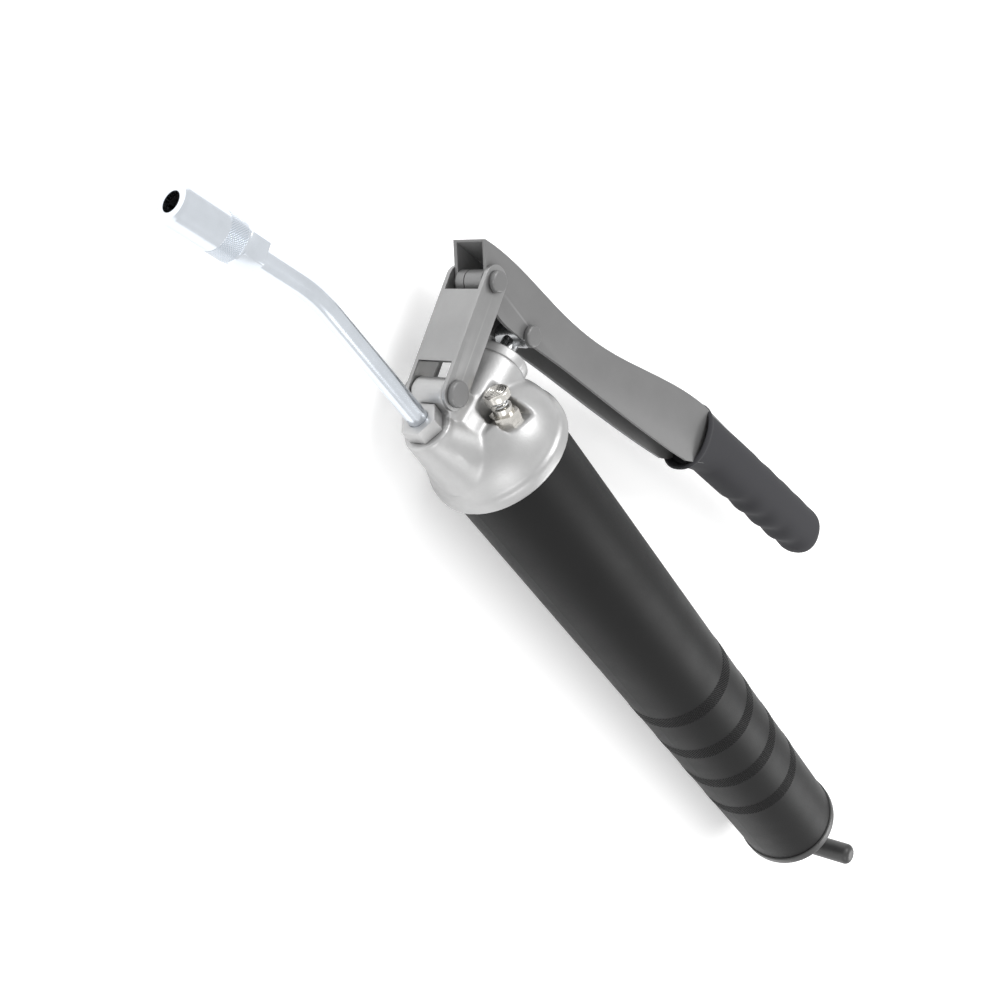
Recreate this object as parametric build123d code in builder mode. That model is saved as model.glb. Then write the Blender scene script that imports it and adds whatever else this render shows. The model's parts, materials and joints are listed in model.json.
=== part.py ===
"""Lever grease gun: every physical piece as its own solid, millimetres.

Frame: the origin lies on the barrel's axis where the barrel leaves the head's rim.
+X runs forward along the barrel to the nozzle, the lever is on the -Y side, and the
linkage pins are parallel to Z.
"""
from build123d import *
from math import cos, hypot, radians, sin
import os

os.makedirs("parts", exist_ok=True)

# ---- Clearances ----
RUNNING_GAP = 0.05          # radial gap of a running fit
SEAT_GAP = 0.02             # radial gap of a seated or pressed piece
SIDE_GAP = 0.3              # gap between faces that slide past each other

# ---- Barrel, cap and follower ----
BARREL_RADIUS = 28.5
BARREL_WALL = 1.2
BARREL_LENGTH = 375.0       # rim to cap
BARREL_SEAT = 9.0           # length inside the head
CAP_RADIUS = 29.4
CAP_LENGTH = 7.2
CAP_SPIGOT = 8.0
CAP_BEVEL = 1.4
GASKET_THICKNESS = 1.6
ROD_RADIUS = 4.0
BUSHING_RADIUS = 8.0
FOLLOWER_GAP = 0.3
FOLLOWER_LENGTH = 15.0
FOLLOWER_WALL = 2.5
FOLLOWER_STANDOFF = 12.0    # from the rim plane back to the follower's front face
WASHER_RADIUS = 19.0
WASHER_THICKNESS = 1.6
ROD_NUT_FLATS = 13.0
ROD_NUT_LENGTH = 5.0
SPRING_RADIUS = 17.0
SPRING_WIRE = 1.2
SPRING_PITCH = 22.0
HANDLE_RADIUS = 6.4
HANDLE_REACH = 31.0
HANDLE_STANDOFF = 30.0      # between the cap's face and the handle
HANDLE_ROUND = 4.0

# ---- Head casting ----
RIM_RADIUS = 32.4
RIM_LENGTH = 7.1
DOME_BASE_RADIUS = 31.0
DOME_MID = (19.5, 27.6)     # axial place and radius halfway up the dome
DOME_TOP = (29.0, 18.0)
DOME_CAVITY_RADIUS = 23.0
DOME_CAVITY_LENGTH = 14.0   # from the rim plane
TOWER_X = 27.0
TOWER_RADIUS = 13.4
TOWER_TOP = -24.5           # Y of the tower's face under the gland
TOWER_BOTTOM = 24.0
GLAND_LENGTH = 5.0
GLAND_RADIUS = 12.6
SEAL_RADIUS = 7.0
SEAL_LENGTH = 4.5
PORT_RADIUS = 2.5
CAST_ROUND = 1.2

# ---- Outlet ----
OUTLET_Y = 20.7
OUTLET_BOSS_RADIUS = 10.6
OUTLET_BOSS_START = 12.0
OUTLET_BOSS_END = 44.0
FLARE_Y = 8.5
FLARE_RADIUS = 22.0
FLARE_END = 41.0
OUTLET_BORE = 2.6
VALVE_RADIUS = 4.4
VALVE_START = 32.0
VALVE_END = 41.0
BALL_RADIUS = 3.2
NUT_THREAD_RADIUS = 6.4
NUT_FLATS = 15.0
NUT_LENGTH = 6.5

# ---- Tube and coupler ----
TUBE_RADIUS = 4.25
TUBE_BORE = 2.0
TUBE_START = 43.0
BEND_X = 122.0
BEND_ANGLE = 16.5
BEND_RADIUS = 60.0
HEX_START = 30.0            # distances along the nozzle from the bend's corner
HEX_LENGTH = 9.0
HEX_FLATS = 14.4
SPIGOT_RADIUS = 5.4
SPIGOT_LENGTH = 12.0
SLEEVE_RADIUS = 7.8
SLEEVE_END = 66.5
SLEEVE_CAVITY = 6.2
NOSE_WALL = 2.0
NOSE_BORE = 3.95
SEAL_DISC = 2.4
JAW_COUNT = 4
JAW_SLOT = 1.0

# ---- Link, lever and plunger ----
LOWER_PIN = (49.0, 6.6)
UPPER_PIN = (60.5, -42.0)
PLUNGER_PIN_Y = -42.0
PIN_RADIUS = 3.3
PIN_HEAD_RADIUS = 5.4
PIN_HEAD_LENGTH = 2.6
SHEET = 1.8
LEVER_HALF_WIDTH = 8.6
LUG_RADIUS = 6.3
LINK_END_RADIUS = 6.8
LINK_WEB_OFFSET = 4.9       # pin line to the web's outer face
LINK_WEB_SPAN = (11.0, 43.0)
SPACER_RADIUS = 5.0
SPACER_SPLIT = -2.6         # Z of the groove between the two spacers
SPACER_GROOVE = 0.5
PLUNGER_RADIUS = 4.0
PLUNGER_TIP_Y = 10.0
EYE_RADIUS = 4.9
PLUNGER_PIN_RADIUS = 2.6
PLUNGER_PIN_HEAD = 4.7
SLOT_EXTRA = 1.6            # how far the lever's slot runs past the pin, towards the grip
SLOT_GAP = 0.45

# Side outline of the lever, front to grip: the web's edge and the open edge
LEVER_BACK = [(75.0, -51.5), (55.0, -57.5), (19.0, -63.8), (-13.0, -72.2), (-53.0, -89.4), (-106.0, -110.4)]
LEVER_OPEN = [(-112.0, -80.0), (-65.0, -65.4), (-29.0, -55.4), (3.0, -46.6), (32.0, -37.6), (45.0, -34.6), (60.4, -37.6)]
TANG_END = (-258.0, -134.5)     # centre of the lever's end inside the grip
TANG_HALF_DEPTH = 8.0

# ---- Grip ----
GRIP_START = (-113.0, -100.0)
GRIP_LENGTH = 160.0
GRIP_ANGLE = 13.5
GRIP_HALF_DEPTH = 14.6
GRIP_HALF_WIDTH = 12.6
MOUTH_HALF_DEPTH = 18.4
MOUTH_SHIFT = 3.6           # the mouth's centre, towards the barrel
MOUTH_LENGTH = 24.0
GRIP_END_ROUND = 9.0

# ---- Bleeder ----
BLEEDER_BASE = (22.7, -0.6, 17.0)
BLEEDER_TILT = -16.0        # degrees from +X towards the lever
PAD_RADIUS = 8.6
PAD_DEPTH = 12.0
PAD_FACING = 7.0
BLEEDER_THREAD = 3.5
BLEEDER_THREAD_LENGTH = 7.0
BLEEDER_HEX_FLATS = 11.0
BLEEDER_HEX_LENGTH = 5.0
BLEEDER_NECK = 4.3
BLEEDER_NECK_LENGTH = 3.0
BLEEDER_STEM = 1.9
BUTTON_RADIUS = 5.6
BUTTON_START = 12.2
BUTTON_LENGTH = 3.2
BUTTON_ROUND = 1.2
BUTTON_SPRING_RADIUS = 3.0
BUTTON_SPRING_WIRE = 0.45
BUTTON_SPRING_PITCH = 1.5

# ---- Derived places ----
CAP_FACE = -BARREL_LENGTH - CAP_LENGTH
FOLLOWER_FRONT = -FOLLOWER_STANDOFF
FOLLOWER_BACK = FOLLOWER_FRONT - FOLLOWER_LENGTH
HANDLE_X = CAP_FACE - HANDLE_STANDOFF - HANDLE_RADIUS
BARREL_BORE = BARREL_RADIUS - BARREL_WALL
LINK_INNER = LEVER_HALF_WIDTH + SIDE_GAP
LINK_OUTER = LINK_INNER + SHEET
LEVER_INNER = LEVER_HALF_WIDTH - SHEET
LUG_HALF_WIDTH = LINK_INNER - SIDE_GAP
GLAND_TOP = TOWER_TOP - GLAND_LENGTH
NOZZLE_DIR = (cos(radians(BEND_ANGLE)), sin(radians(BEND_ANGLE)), 0.0)
BLEEDER_DIR = (cos(radians(BLEEDER_TILT)), sin(radians(BLEEDER_TILT)), 0.0)
GRIP_DIR = (-cos(radians(GRIP_ANGLE)), -sin(radians(GRIP_ANGLE)), 0.0)


def along_x(x, y=0.0, z=0.0):
    """Plane across the barrel's axis, facing the nozzle."""
    return Plane(origin=(x, y, z), x_dir=(0, 1, 0), z_dir=(1, 0, 0))


def along_y(y, x=TOWER_X, z=0.0):
    """Plane across the plunger's axis, facing away from the lever."""
    return Plane(origin=(x, y, z), x_dir=(1, 0, 0), z_dir=(0, 1, 0))


def along_z(z, x=0.0, y=0.0):
    """Plane across a pin, facing up."""
    return Plane(origin=(x, y, z), x_dir=(1, 0, 0), z_dir=(0, 0, 1))


def along_nozzle(distance):
    """Plane across the nozzle's axis, this far past the bend's corner."""
    place = (BEND_X + NOZZLE_DIR[0] * distance, OUTLET_Y + NOZZLE_DIR[1] * distance, 0.0)
    return Plane(origin=place, x_dir=(0, 0, 1), z_dir=NOZZLE_DIR)


def along_bleeder(distance):
    """Plane across the bleeder's axis, this far above its pad."""
    place = [BLEEDER_BASE[i] + BLEEDER_DIR[i] * distance for i in range(3)]
    return Plane(origin=tuple(place), x_dir=(0, 0, 1), z_dir=BLEEDER_DIR)


def along_grip(distance, shift=0.0):
    """Plane across the grip's axis; shift moves it towards the barrel."""
    x = GRIP_START[0] + GRIP_DIR[0] * distance
    y = GRIP_START[1] + GRIP_DIR[1] * distance + shift
    return Plane(origin=(x, y, 0.0), x_dir=(0, 0, 1), z_dir=GRIP_DIR)


def rod(plane, radius, length, mode=Mode.ADD):
    """Round bar or bore that starts on a plane."""
    with BuildSketch(plane) as profile:
        Circle(radius)
    extrude(profile.sketch, amount=length, mode=mode)


def tube(plane, radius, bore, length):
    """Round tube that starts on a plane."""
    with BuildSketch(plane) as profile:
        Circle(radius)
        Circle(bore, mode=Mode.SUBTRACT)
    extrude(profile.sketch, amount=length)


def hexagon(plane, flats, length, bore=0.0):
    """Hexagonal bar that starts on a plane, with an optional bore."""
    with BuildSketch(plane) as profile:
        RegularPolygon(radius=flats / 2, side_count=6, major_radius=False, rotation=30)
        if bore:
            Circle(bore, mode=Mode.SUBTRACT)
    extrude(profile.sketch, amount=length)


def coil(plane, radius, wire, pitch, height):
    """Open helical spring that starts on a plane."""
    with BuildLine() as path:
        Helix(pitch=pitch, height=height, radius=radius, center=plane.origin, direction=plane.z_dir)
    with BuildSketch(Plane(origin=path.line @ 0, z_dir=path.line % 0)) as profile:
        Circle(wire)
    sweep(profile.sketch, path=path.line, is_frenet=True)


def headed_pin(place, half_length, radius, head_radius):
    """Riveted pin through both sides, its heads outside the half length."""
    rod(along_z(-half_length, *place), radius, 2 * half_length)
    for side in (1, -1):
        with BuildSketch(along_z(side * half_length, *place)) as head:
            Circle(head_radius)
        extrude(head.sketch, amount=side * PIN_HEAD_LENGTH)
    ends = edges().filter_by(GeomType.CIRCLE).group_by(Axis.Z)
    chamfer(ends[0] + ends[-1], length=PIN_HEAD_LENGTH / 4)


def finish(build, name):
    """Label a piece and write its STEP file."""
    build.part.label = name
    export_step(build.part, f"parts/{name}.step")


# ================= Head =================
lug_foot = (TOWER_X + TOWER_RADIUS * 0.6, LOWER_PIN[1])

with BuildPart() as head_casting:
    with BuildSketch(Plane.XY):
        with BuildLine():
            Polyline((0, 0), (0, RIM_RADIUS), (RIM_LENGTH, RIM_RADIUS), (RIM_LENGTH, DOME_BASE_RADIUS))
            ThreePointArc((RIM_LENGTH, DOME_BASE_RADIUS), DOME_MID, DOME_TOP)
            Polyline(DOME_TOP, (DOME_TOP[0], 0), (0, 0))
        make_face()
    revolve(axis=Axis.X)
    rim = edges().filter_by(GeomType.CIRCLE).filter_by(lambda e: abs(e.radius - RIM_RADIUS) < 0.01)
    fillet(rim, radius=CAST_ROUND)
    rod(along_y(TOWER_TOP), TOWER_RADIUS, TOWER_BOTTOM - TOWER_TOP)
    rod(along_x(OUTLET_BOSS_START, OUTLET_Y), OUTLET_BOSS_RADIUS, OUTLET_BOSS_END - OUTLET_BOSS_START)
    # The boss flares down to the rim
    with BuildSketch(along_x(RIM_LENGTH, FLARE_Y)):
        Circle(FLARE_RADIUS)
    with BuildSketch(along_x(FLARE_END, OUTLET_Y)):
        Circle(OUTLET_BOSS_RADIUS)
    loft()
    # Lug for the link's lower pin: a barrel on an arm from the tower
    with BuildSketch(along_z(-LUG_HALF_WIDTH)):
        with BuildLine():
            Polyline(
                (lug_foot[0] - LUG_RADIUS, lug_foot[1] - 1.5 * LUG_RADIUS),
                (LOWER_PIN[0], LOWER_PIN[1] - LUG_RADIUS),
                (LOWER_PIN[0], LOWER_PIN[1] + LUG_RADIUS),
                (lug_foot[0] - LUG_RADIUS, LOWER_PIN[1] + LUG_RADIUS),
                close=True,
            )
        make_face()
        with Locations(LOWER_PIN):
            Circle(LUG_RADIUS)
    extrude(amount=2 * LUG_HALF_WIDTH)
    # Pad under the bleeder, faced off square to its axis
    rod(along_bleeder(-PAD_DEPTH), PAD_RADIUS, PAD_DEPTH)
    with BuildSketch(along_bleeder(0)):
        with Locations((RIM_RADIUS / 2 - PAD_FACING, 0)):
            Rectangle(RIM_RADIUS, 2 * PAD_FACING)
    extrude(amount=BUTTON_START + 2 * BUTTON_LENGTH, mode=Mode.SUBTRACT)
    # Barrel seat, grease cavity and the port that feeds the plunger bore
    rod(along_x(0), BARREL_RADIUS + SEAT_GAP, BARREL_SEAT + GASKET_THICKNESS, mode=Mode.SUBTRACT)
    rod(along_x(0), DOME_CAVITY_RADIUS, DOME_CAVITY_LENGTH, mode=Mode.SUBTRACT)
    rod(along_x(0), PORT_RADIUS, TOWER_X, mode=Mode.SUBTRACT)
    # Spot face for the gland, then the plunger bore with the packing's recess
    rod(along_y(TOWER_TOP - RIM_RADIUS), GLAND_RADIUS + SIDE_GAP, RIM_RADIUS, mode=Mode.SUBTRACT)
    rod(along_y(TOWER_TOP), PLUNGER_RADIUS + RUNNING_GAP, OUTLET_Y - TOWER_TOP, mode=Mode.SUBTRACT)
    rod(along_y(TOWER_TOP), SEAL_RADIUS + SEAT_GAP, SEAL_LENGTH, mode=Mode.SUBTRACT)
    # Outlet passage, valve chamber and adapter thread
    rod(along_x(TOWER_X, OUTLET_Y), OUTLET_BORE, OUTLET_BOSS_END - TOWER_X, mode=Mode.SUBTRACT)
    rod(along_x(VALVE_START, OUTLET_Y), VALVE_RADIUS, OUTLET_BOSS_END - VALVE_START, mode=Mode.SUBTRACT)
    rod(along_x(VALVE_END, OUTLET_Y), NUT_THREAD_RADIUS + SEAT_GAP, OUTLET_BOSS_END - VALVE_END, mode=Mode.SUBTRACT)
    # Bleeder thread and lower pin hole
    rod(along_bleeder(-BLEEDER_THREAD_LENGTH), BLEEDER_THREAD + SEAT_GAP, BLEEDER_THREAD_LENGTH, mode=Mode.SUBTRACT)
    rod(along_z(-LUG_HALF_WIDTH, *LOWER_PIN), PIN_RADIUS + RUNNING_GAP, 2 * LUG_HALF_WIDTH, mode=Mode.SUBTRACT)
finish(head_casting, "head_casting")

with BuildPart() as plunger_gland:
    tube(along_y(GLAND_TOP), GLAND_RADIUS, PLUNGER_RADIUS + RUNNING_GAP, GLAND_LENGTH)
    fillet(edges().filter_by(GeomType.CIRCLE).group_by(Axis.Y)[0].sort_by(SortBy.RADIUS)[-1], radius=CAST_ROUND)
finish(plunger_gland, "plunger_gland")

with BuildPart() as plunger_seal:
    tube(along_y(TOWER_TOP), SEAL_RADIUS, PLUNGER_RADIUS + RUNNING_GAP, SEAL_LENGTH)
finish(plunger_seal, "plunger_seal")

# ================= Outlet valve and tube =================
ball_x = VALVE_START + BALL_RADIUS - 0.8

with BuildPart() as outlet_ball:
    with BuildSketch(Plane(origin=(ball_x, OUTLET_Y, 0))):
        Circle(BALL_RADIUS)
        Rectangle(2 * BALL_RADIUS, BALL_RADIUS, align=(Align.CENTER, Align.MAX), mode=Mode.SUBTRACT)
    revolve(axis=Axis((ball_x, OUTLET_Y, 0), (1, 0, 0)))
finish(outlet_ball, "outlet_ball")

spring_start = ball_x + BALL_RADIUS + 0.6

with BuildPart() as outlet_spring:
    coil(along_x(spring_start, OUTLET_Y), 2.6, 0.4, 1.4, VALVE_END - spring_start - 1.2)
finish(outlet_spring, "outlet_spring")

with BuildPart() as outlet_nut:
    tube(along_x(VALVE_END, OUTLET_Y), NUT_THREAD_RADIUS, TUBE_BORE, OUTLET_BOSS_END - VALVE_END)
    hexagon(along_x(OUTLET_BOSS_END, OUTLET_Y), NUT_FLATS, NUT_LENGTH, TUBE_BORE)
    nut_end = OUTLET_BOSS_END + NUT_LENGTH
    rod(along_x(TUBE_START, OUTLET_Y), TUBE_RADIUS + SEAT_GAP, nut_end - TUBE_START, mode=Mode.SUBTRACT)
finish(outlet_nut, "outlet_nut")

tube_end = along_nozzle(HEX_START + 0.6 * HEX_LENGTH).origin

with BuildPart() as outlet_tube:
    with BuildLine():
        FilletPolyline((TUBE_START, OUTLET_Y, 0), (BEND_X, OUTLET_Y, 0), tube_end, radius=BEND_RADIUS)
    with BuildSketch(along_x(TUBE_START, OUTLET_Y)):
        Circle(TUBE_RADIUS)
        Circle(TUBE_BORE, mode=Mode.SUBTRACT)
    sweep()
finish(outlet_tube, "outlet_tube")

# ================= Coupler =================
hex_end = HEX_START + HEX_LENGTH
spigot_end = hex_end + SPIGOT_LENGTH
cavity_end = SLEEVE_END - NOSE_WALL

with BuildPart() as coupler_body:
    hexagon(along_nozzle(HEX_START), HEX_FLATS, HEX_LENGTH, TUBE_BORE)
    tube(along_nozzle(hex_end), SPIGOT_RADIUS, TUBE_BORE, SPIGOT_LENGTH)
    rod(along_nozzle(HEX_START), TUBE_RADIUS + SEAT_GAP, 0.6 * HEX_LENGTH, mode=Mode.SUBTRACT)
finish(coupler_body, "coupler_body")

with BuildPart() as coupler_sleeve:
    rod(along_nozzle(hex_end), SLEEVE_RADIUS, SLEEVE_END - hex_end)
    nose = faces().sort_by(Axis(along_nozzle(0).origin, NOZZLE_DIR))[-1]
    chamfer(nose.edges(), length=1.0)
    rod(along_nozzle(hex_end), SPIGOT_RADIUS + SEAT_GAP, SPIGOT_LENGTH, mode=Mode.SUBTRACT)
    rod(along_nozzle(spigot_end), SLEEVE_CAVITY, cavity_end - spigot_end, mode=Mode.SUBTRACT)
    rod(along_nozzle(cavity_end), NOSE_BORE, NOSE_WALL, mode=Mode.SUBTRACT)
finish(coupler_sleeve, "coupler_sleeve")

with BuildPart() as coupler_seal:
    tube(along_nozzle(spigot_end), SLEEVE_CAVITY - SEAT_GAP, TUBE_BORE, SEAL_DISC)
finish(coupler_seal, "coupler_seal")

with BuildPart() as coupler_jaws:
    tube(along_nozzle(spigot_end + SEAL_DISC), SLEEVE_CAVITY - SEAT_GAP, NOSE_BORE, cavity_end - spigot_end - SEAL_DISC)
    with BuildSketch(along_nozzle(spigot_end + SEAL_DISC)):
        with PolarLocations(0, JAW_COUNT // 2, angular_range=180):
            Rectangle(2 * SLEEVE_RADIUS, JAW_SLOT)
    extrude(amount=cavity_end - spigot_end - SEAL_DISC, mode=Mode.SUBTRACT)
finish(coupler_jaws, "coupler_jaws")

# ================= Bleeder =================
neck_end = BLEEDER_HEX_LENGTH + BLEEDER_NECK_LENGTH

with BuildPart() as bleeder_body:
    rod(along_bleeder(-BLEEDER_THREAD_LENGTH), BLEEDER_THREAD, BLEEDER_THREAD_LENGTH)
    hexagon(along_bleeder(0), BLEEDER_HEX_FLATS, BLEEDER_HEX_LENGTH)
    rod(along_bleeder(BLEEDER_HEX_LENGTH), BLEEDER_NECK, BLEEDER_NECK_LENGTH)
    rod(along_bleeder(-BLEEDER_THREAD_LENGTH / 2), BLEEDER_STEM + RUNNING_GAP, neck_end + BLEEDER_THREAD_LENGTH, mode=Mode.SUBTRACT)
finish(bleeder_body, "bleeder_body")

with BuildPart() as bleeder_button:
    rod(along_bleeder(0), BLEEDER_STEM, BUTTON_START)
    rod(along_bleeder(BUTTON_START), BUTTON_RADIUS, BUTTON_LENGTH)
    crown = faces().sort_by(Axis(BLEEDER_BASE, BLEEDER_DIR))[-1]
    fillet(crown.edges(), radius=BUTTON_ROUND)
finish(bleeder_button, "bleeder_button")

button_spring_height = BUTTON_START - neck_end - 4 * BUTTON_SPRING_WIRE

with BuildPart() as bleeder_spring:
    coil(along_bleeder(neck_end + 1.5 * BUTTON_SPRING_WIRE), BUTTON_SPRING_RADIUS, BUTTON_SPRING_WIRE,
         BUTTON_SPRING_PITCH, button_spring_height)
finish(bleeder_spring, "bleeder_spring")

# ================= Barrel and follower =================
with BuildPart() as barrel:
    tube(along_x(-BARREL_LENGTH), BARREL_RADIUS, BARREL_BORE, BARREL_LENGTH + BARREL_SEAT)
finish(barrel, "barrel")

with BuildPart() as barrel_gasket:
    tube(along_x(BARREL_SEAT), BARREL_RADIUS - SEAT_GAP, DOME_CAVITY_RADIUS, GASKET_THICKNESS)
finish(barrel_gasket, "barrel_gasket")

with BuildPart() as end_cap:
    tube(along_x(CAP_FACE), CAP_RADIUS, BUSHING_RADIUS + SEAT_GAP, CAP_LENGTH)
    tube(along_x(-BARREL_LENGTH), BARREL_BORE - SEAT_GAP, BARREL_BORE - 2 * BARREL_WALL, CAP_SPIGOT)
    chamfer(edges().filter_by(GeomType.CIRCLE).group_by(Axis.X)[0].sort_by(SortBy.RADIUS)[-1], length=CAP_BEVEL)
finish(end_cap, "end_cap")

with BuildPart() as rod_bushing:
    tube(along_x(CAP_FACE), BUSHING_RADIUS, ROD_RADIUS + RUNNING_GAP, CAP_LENGTH)
finish(rod_bushing, "rod_bushing")

rod_front = FOLLOWER_FRONT - WASHER_THICKNESS + ROD_NUT_LENGTH + WASHER_THICKNESS

with BuildPart() as follower_rod:
    rod(along_x(HANDLE_X), ROD_RADIUS, rod_front - HANDLE_X)
finish(follower_rod, "follower_rod")

with BuildPart() as follower_cup:
    tube(along_x(FOLLOWER_BACK), BARREL_BORE - FOLLOWER_GAP, ROD_RADIUS + SEAT_GAP, FOLLOWER_LENGTH)
    with BuildSketch(along_x(FOLLOWER_BACK)):
        Circle(BARREL_BORE - FOLLOWER_GAP - FOLLOWER_WALL)
    extrude(amount=FOLLOWER_LENGTH - FOLLOWER_WALL, mode=Mode.SUBTRACT)
finish(follower_cup, "follower_cup")

cup_floor = FOLLOWER_FRONT - FOLLOWER_WALL

with BuildPart() as follower_washers:
    tube(along_x(FOLLOWER_FRONT), WASHER_RADIUS, ROD_RADIUS + SEAT_GAP, WASHER_THICKNESS)
    tube(along_x(cup_floor - WASHER_THICKNESS), WASHER_RADIUS, ROD_RADIUS + SEAT_GAP, WASHER_THICKNESS)
finish(follower_washers, "follower_washers")

with BuildPart() as rod_nut:
    hexagon(along_x(FOLLOWER_FRONT + WASHER_THICKNESS), ROD_NUT_FLATS, ROD_NUT_LENGTH - WASHER_THICKNESS, ROD_RADIUS + SEAT_GAP)
finish(rod_nut, "rod_nut")

spring_front = cup_floor - WASHER_THICKNESS - 1.5 * SPRING_WIRE
spring_back = -BARREL_LENGTH + 1.5 * SPRING_WIRE

with BuildPart() as follower_spring:
    coil(along_x(spring_back), SPRING_RADIUS, SPRING_WIRE, SPRING_PITCH, spring_front - spring_back)
finish(follower_spring, "follower_spring")

with BuildPart() as rod_handle:
    rod(along_z(-HANDLE_RADIUS - 1.0, HANDLE_X), HANDLE_RADIUS, HANDLE_REACH + HANDLE_RADIUS + 1.0)
    fillet(edges().filter_by(GeomType.CIRCLE), radius=HANDLE_ROUND)
    rod(along_x(HANDLE_X), ROD_RADIUS + SEAT_GAP, 2 * HANDLE_RADIUS, mode=Mode.SUBTRACT)
finish(rod_handle, "rod_handle")

# ================= Link =================
link_dx = UPPER_PIN[0] - LOWER_PIN[0]
link_dy = UPPER_PIN[1] - LOWER_PIN[1]
link_length = hypot(link_dx, link_dy)
link_dir = (link_dx / link_length, link_dy / link_length)
# x runs from the lower pin to the upper one, y towards the nozzle side
link_plane = Plane(origin=(*LOWER_PIN, 0), x_dir=(*link_dir, 0), z_dir=(0, 0, 1))

with BuildPart() as toggle_link:
    with BuildSketch(link_plane.offset(-LINK_OUTER)):
        with Locations((link_length / 2, 0)):
            SlotCenterToCenter(link_length, 2 * LINK_END_RADIUS)
        web_length = LINK_WEB_SPAN[1] - LINK_WEB_SPAN[0]
        with Locations(((LINK_WEB_SPAN[0] + LINK_WEB_SPAN[1]) / 2, LINK_END_RADIUS / 2)):
            Rectangle(web_length, LINK_END_RADIUS)
    extrude(amount=2 * LINK_OUTER)
    with BuildSketch(link_plane.offset(-LINK_INNER)):
        with Locations((link_length / 2, -LINK_END_RADIUS)):
            Rectangle(link_length + 4 * LINK_END_RADIUS, 2 * (2 * LINK_END_RADIUS - SHEET))
        for edge_x, side in ((LINK_WEB_SPAN[0], -1), (LINK_WEB_SPAN[1], 1)):
            with Locations((edge_x + side * link_length / 2, 0)):
                Rectangle(link_length, 6 * LINK_END_RADIUS)
    extrude(amount=2 * LINK_INNER, mode=Mode.SUBTRACT)
    for pin in (LOWER_PIN, UPPER_PIN):
        rod(along_z(-LINK_OUTER, *pin), PIN_RADIUS + RUNNING_GAP, 2 * LINK_OUTER, mode=Mode.SUBTRACT)
finish(toggle_link, "toggle_link")

with BuildPart() as link_lower_pin:
    headed_pin(LOWER_PIN, LINK_OUTER, PIN_RADIUS, PIN_HEAD_RADIUS)
finish(link_lower_pin, "link_lower_pin")

# ================= Lever =================
plunger_pin = (TOWER_X, PLUNGER_PIN_Y)

with BuildPart() as lever:
    with BuildSketch(along_z(-LEVER_HALF_WIDTH)):
        with BuildLine():
            Spline(*LEVER_BACK)
            Line(LEVER_BACK[-1], (TANG_END[0], TANG_END[1] - TANG_HALF_DEPTH))
            Line((TANG_END[0], TANG_END[1] - TANG_HALF_DEPTH), (TANG_END[0], TANG_END[1] + TANG_HALF_DEPTH))
            Line((TANG_END[0], TANG_END[1] + TANG_HALF_DEPTH), (-140.0, -98.0))
            Line((-140.0, -98.0), LEVER_OPEN[0])
            Spline(*LEVER_OPEN)
            Line(LEVER_OPEN[-1], LEVER_BACK[0])
        make_face()
    extrude(amount=2 * LEVER_HALF_WIDTH)
    with BuildSketch(along_z(-LEVER_INNER)):
        with BuildLine():
            Spline(*[(x + (12.0 if i == 0 else 0.0), y + SHEET * 1.03 + (3.6 if i == 0 else 0.0)) for i, (x, y) in enumerate(LEVER_BACK)])
            Line((LEVER_BACK[-1][0], LEVER_BACK[-1][1] + SHEET * 1.03), (TANG_END[0] - 9, TANG_END[1] - TANG_HALF_DEPTH + SHEET))
            Polyline((TANG_END[0] - 9, TANG_END[1] - TANG_HALF_DEPTH + SHEET), (TANG_END[0] - 9, 40.0), (LEVER_BACK[0][0] + 12.0, 40.0),
                     (LEVER_BACK[0][0] + 12.0, LEVER_BACK[0][1] + SHEET * 1.03 + 3.6))
        make_face()
    extrude(amount=2 * LEVER_INNER, mode=Mode.SUBTRACT)
    rod(along_z(-LEVER_HALF_WIDTH, *UPPER_PIN), PIN_RADIUS + SEAT_GAP, 2 * LEVER_HALF_WIDTH, mode=Mode.SUBTRACT)
    with BuildSketch(along_z(-LEVER_HALF_WIDTH, plunger_pin[0] - SLOT_EXTRA / 2, plunger_pin[1])):
        SlotCenterToCenter(SLOT_EXTRA, 2 * (PLUNGER_PIN_RADIUS + SLOT_GAP))
    extrude(amount=2 * LEVER_HALF_WIDTH, mode=Mode.SUBTRACT)
finish(lever, "lever")

with BuildPart() as link_upper_pin:
    headed_pin(UPPER_PIN, LINK_OUTER, PIN_RADIUS, PIN_HEAD_RADIUS - 0.8)
finish(link_upper_pin, "link_upper_pin")

with BuildPart() as pin_spacers:
    tube(along_z(-LEVER_INNER, *UPPER_PIN), SPACER_RADIUS, PIN_RADIUS + SEAT_GAP, SPACER_SPLIT + LEVER_INNER)
    tube(along_z(SPACER_SPLIT + SPACER_GROOVE, *UPPER_PIN), SPACER_RADIUS, PIN_RADIUS + SEAT_GAP,
         LEVER_INNER - SPACER_SPLIT - SPACER_GROOVE)
finish(pin_spacers, "pin_spacers")

with BuildPart() as lever_grip:
    with BuildSketch(along_grip(0, MOUTH_SHIFT)):
        Ellipse(GRIP_HALF_WIDTH, MOUTH_HALF_DEPTH)
    with BuildSketch(along_grip(MOUTH_LENGTH)):
        Ellipse(GRIP_HALF_WIDTH, GRIP_HALF_DEPTH)
    loft()
    with BuildSketch(along_grip(MOUTH_LENGTH)):
        Ellipse(GRIP_HALF_WIDTH, GRIP_HALF_DEPTH)
    extrude(amount=GRIP_LENGTH - MOUTH_LENGTH)
    grip_end = faces().sort_by(Axis((*GRIP_START, 0), GRIP_DIR))[-1]
    fillet(grip_end.edges(), radius=GRIP_END_ROUND)
    add(lever.part, mode=Mode.SUBTRACT)
finish(lever_grip, "lever_grip")

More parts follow.
